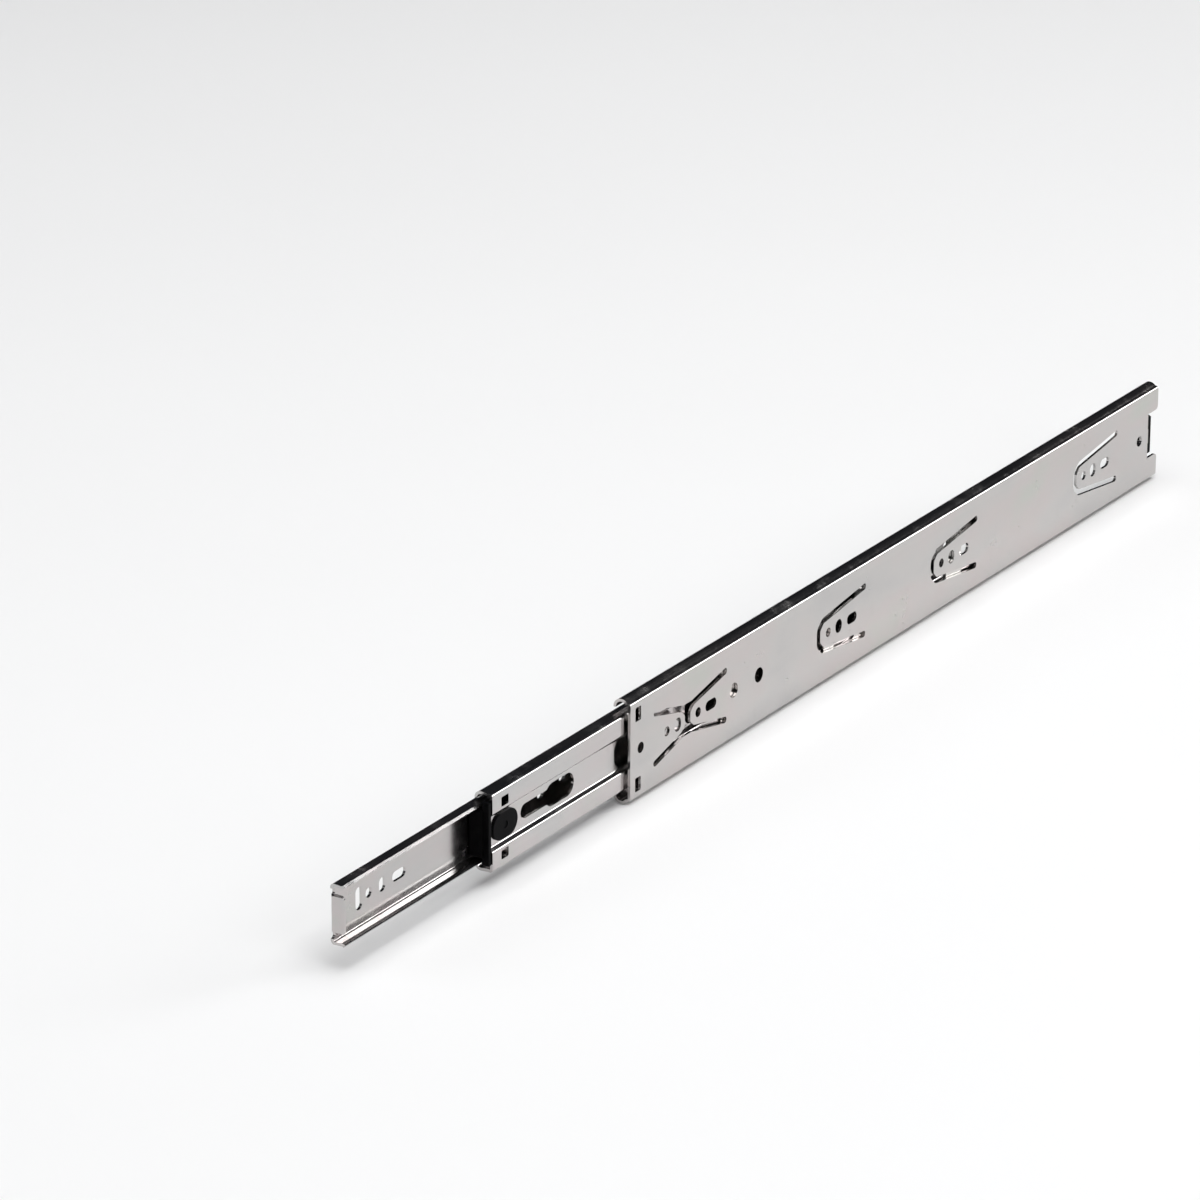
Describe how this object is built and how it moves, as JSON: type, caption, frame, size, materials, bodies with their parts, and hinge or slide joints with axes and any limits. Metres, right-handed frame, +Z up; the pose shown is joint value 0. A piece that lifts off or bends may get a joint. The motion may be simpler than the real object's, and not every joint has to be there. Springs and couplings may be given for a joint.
{
  "type": "drawer slide",
  "caption": "Full-extension side-mount drawer slide: cabinet, intermediate and drawer members in folded sheet steel, running on caged ball rows, with plastic bumpers and a release lever.",
  "frame": {"origin": "centre of the cabinet member's mounting face, between two of its mounting tongues", "axes": "+X from the front of the cabinet to its back, +Y from the cabinet wall to the drawer side, +Z up; the slide opens along -X"},
  "size_m": [0.6445, 0.0127, 0.0456],
  "materials": {
    "zinc_steel": "bright zinc plating, softly cloudy",
    "retainer_steel": "zinc plated strip",
    "ball_steel": "polished",
    "black_plastic": "moulded, satin"
  },
  "bodies": {
    "cabinet": {"cabinet_member": "zinc_steel", "rear_bumper": "black_plastic"},
    "intermediate": {"intermediate_member": "zinc_steel", "front_bumper": "black_plastic"},
    "drawer": {"drawer_member": "zinc_steel", "lever_rivet": "zinc_steel"},
    "outer_retainer": {"outer_ball_retainer": "retainer_steel", "outer_balls_upper": "ball_steel", "outer_balls_lower": "ball_steel"},
    "inner_retainer": {"inner_ball_retainer_upper": "retainer_steel", "inner_ball_retainer_lower": "retainer_steel", "inner_balls_upper": "ball_steel", "inner_balls_lower": "ball_steel"},
    "lever": {"release_lever": "black_plastic"}
  },
  "joints": [
    {"name": "intermediate_slide", "type": "slide", "parent": "cabinet", "child": "intermediate", "axis": [-1, 0, 0], "range_m": [-0.1023, 0.1272]},
    {"name": "drawer_slide", "type": "slide", "parent": "intermediate", "child": "drawer", "axis": [-1, 0, 0], "range_m": [-0.0922, 0.1283]},
    {"name": "outer_retainer_slide", "type": "slide", "parent": "cabinet", "child": "outer_retainer", "axis": [-1, 0, 0], "range_m": [-0.0512, 0.0637]},
    {"name": "inner_retainer_slide", "type": "slide", "parent": "intermediate", "child": "inner_retainer", "axis": [-1, 0, 0], "range_m": [-0.0462, 0.0643]},
    {"name": "lever_pivot", "type": "hinge", "parent": "drawer", "child": "lever", "pos_m": [-0.1271, 0.0097, 0], "axis": [0, 1, 0], "range_deg": [-5, 5]}
  ],
  "couplings": [
    {"joint": "outer_retainer_slide", "follows": "intermediate_slide", "ratio": 0.5},
    {"joint": "inner_retainer_slide", "follows": "drawer_slide", "ratio": 0.5}
  ]
}
